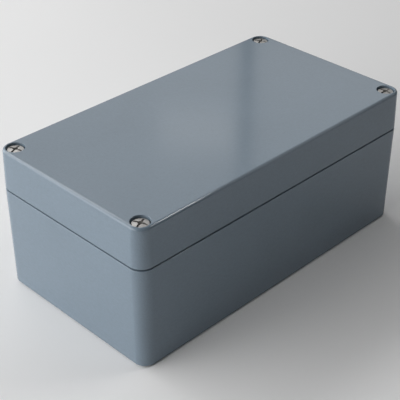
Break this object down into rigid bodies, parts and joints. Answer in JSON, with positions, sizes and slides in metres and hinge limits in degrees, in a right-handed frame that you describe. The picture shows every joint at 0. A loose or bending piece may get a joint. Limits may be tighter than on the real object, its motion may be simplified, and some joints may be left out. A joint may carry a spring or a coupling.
{
  "type": "polyester enclosure",
  "caption": "Rectangular moulded polyester junction box: drafted walls, lift-off lid with gasket and captive cross-head screws, wall fixing holes outside the seal, threaded floor inserts.",
  "frame": {"origin": "middle of the underside, the face that goes against the wall", "axes": "+X along the length, +Y across the width, +Z from the underside to the lid"},
  "size_m": [0.22, 0.12, 0.091],
  "materials": {
    "polyester": "smooth satin grey moulding",
    "gasket": "matt black sponge rubber",
    "stainless": "turned stainless steel",
    "brass": "knurled brass",
    "polyamide": "natural white polyamide"
  },
  "bodies": {
    "base": {"base": "polyester", "pillar_insert_front_left": "brass", "pillar_insert_front_right": "brass", "pillar_insert_rear_left": "brass", "pillar_insert_rear_right": "brass", "plate_insert_front_left": "brass", "plate_insert_front_right": "brass", "plate_insert_rear_left": "brass", "plate_insert_rear_right": "brass", "rail_insert_left": "brass", "rail_insert_right": "brass"},
    "lid": {"lid": "polyester", "gasket": "gasket"},
    "ring_front_left": {"screw_ring_front_left": "polyamide"},
    "screw_front_left": {"lid_screw_front_left": "stainless"},
    "ring_front_right": {"screw_ring_front_right": "polyamide"},
    "screw_front_right": {"lid_screw_front_right": "stainless"},
    "ring_rear_left": {"screw_ring_rear_left": "polyamide"},
    "screw_rear_left": {"lid_screw_rear_left": "stainless"},
    "ring_rear_right": {"screw_ring_rear_right": "polyamide"},
    "screw_rear_right": {"lid_screw_rear_right": "stainless"}
  },
  "joints": [
    {"name": "lid_lift", "type": "slide", "parent": "base", "child": "lid", "axis": [0, 0, 1], "range_m": [0, 0.12]},
    {"name": "screw_rise_front_left", "type": "slide", "parent": "lid", "child": "ring_front_left", "axis": [0, 0, 1], "range_m": [0, 0.009]},
    {"name": "screw_turn_front_left", "type": "hinge", "parent": "ring_front_left", "child": "screw_front_left", "pos_m": [-0.102, -0.052, 0.0857], "axis": [0, 0, 1], "range_deg": [0, 3240]},
    {"name": "screw_rise_front_right", "type": "slide", "parent": "lid", "child": "ring_front_right", "axis": [0, 0, 1], "range_m": [0, 0.009]},
    {"name": "screw_turn_front_right", "type": "hinge", "parent": "ring_front_right", "child": "screw_front_right", "pos_m": [0.102, -0.052, 0.0857], "axis": [0, 0, 1], "range_deg": [0, 3240]},
    {"name": "screw_rise_rear_left", "type": "slide", "parent": "lid", "child": "ring_rear_left", "axis": [0, 0, 1], "range_m": [0, 0.009]},
    {"name": "screw_turn_rear_left", "type": "hinge", "parent": "ring_rear_left", "child": "screw_rear_left", "pos_m": [-0.102, 0.052, 0.0857], "axis": [0, 0, 1], "range_deg": [0, 3240]},
    {"name": "screw_rise_rear_right", "type": "slide", "parent": "lid", "child": "ring_rear_right", "axis": [0, 0, 1], "range_m": [0, 0.009]},
    {"name": "screw_turn_rear_right", "type": "hinge", "parent": "ring_rear_right", "child": "screw_rear_right", "pos_m": [0.102, 0.052, 0.0857], "axis": [0, 0, 1], "range_deg": [0, 3240]}
  ],
  "couplings": [
    {"joint": "screw_turn_front_left", "follows": "screw_rise_front_left", "rad_per_m": 6283.2},
    {"joint": "screw_turn_front_right", "follows": "screw_rise_front_right", "rad_per_m": 6283.2},
    {"joint": "screw_turn_rear_left", "follows": "screw_rise_rear_left", "rad_per_m": 6283.2},
    {"joint": "screw_turn_rear_right", "follows": "screw_rise_rear_right", "rad_per_m": 6283.2}
  ]
}
